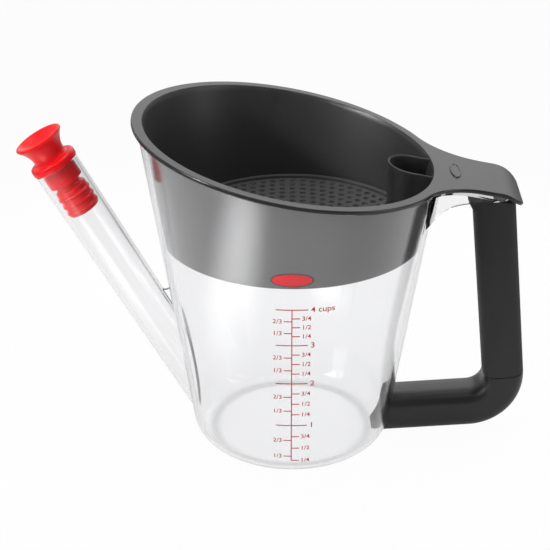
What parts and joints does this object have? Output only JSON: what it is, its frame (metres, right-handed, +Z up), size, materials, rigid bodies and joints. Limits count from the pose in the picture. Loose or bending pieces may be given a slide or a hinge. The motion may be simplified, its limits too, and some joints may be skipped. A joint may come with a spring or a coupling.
{
  "type": "gravy fat separator",
  "caption": "Clear tapered measuring jug with a straight pouring spout set low, a side handle, a slanted lift-out strainer with thumb tab and air vent, and a spout stopper.",
  "frame": {"origin": "centre of the jug's flat base, on the surface that it stands on", "axes": "+Z up along the jug's centre line, +X towards the handle, -X towards the spout, -Y towards the printed scale"},
  "size_m": [0.2507, 0.1488, 0.1725],
  "materials": {
    "clear": "clear, polished",
    "print_red": "printed ink",
    "hard_black": "semi-gloss moulded",
    "soft_black": "matt soft grip",
    "dark_grey": "satin moulded",
    "badge_red": "glossy",
    "soft_red": "smooth silicone"
  },
  "bodies": {
    "jug": {"cup": "clear", "spout_tube": "clear", "handle_bracket": "clear", "scale_print": "print_red", "handle_core": "hard_black", "handle_grip": "soft_black"},
    "strainer": {"strainer_basket": "dark_grey", "strainer_floor": "dark_grey", "vent_chimney": "dark_grey", "oval_badge": "badge_red"},
    "stopper": {"stopper": "soft_red"}
  },
  "joints": [
    {"name": "strainer_lift", "type": "slide", "parent": "jug", "child": "strainer", "axis": [0, 0, 1], "range_m": [0, 0.075]},
    {"name": "stopper_pull", "type": "slide", "parent": "jug", "child": "stopper", "axis": [-0.4879, 0, 0.8729], "range_m": [0, 0.035]}
  ]
}
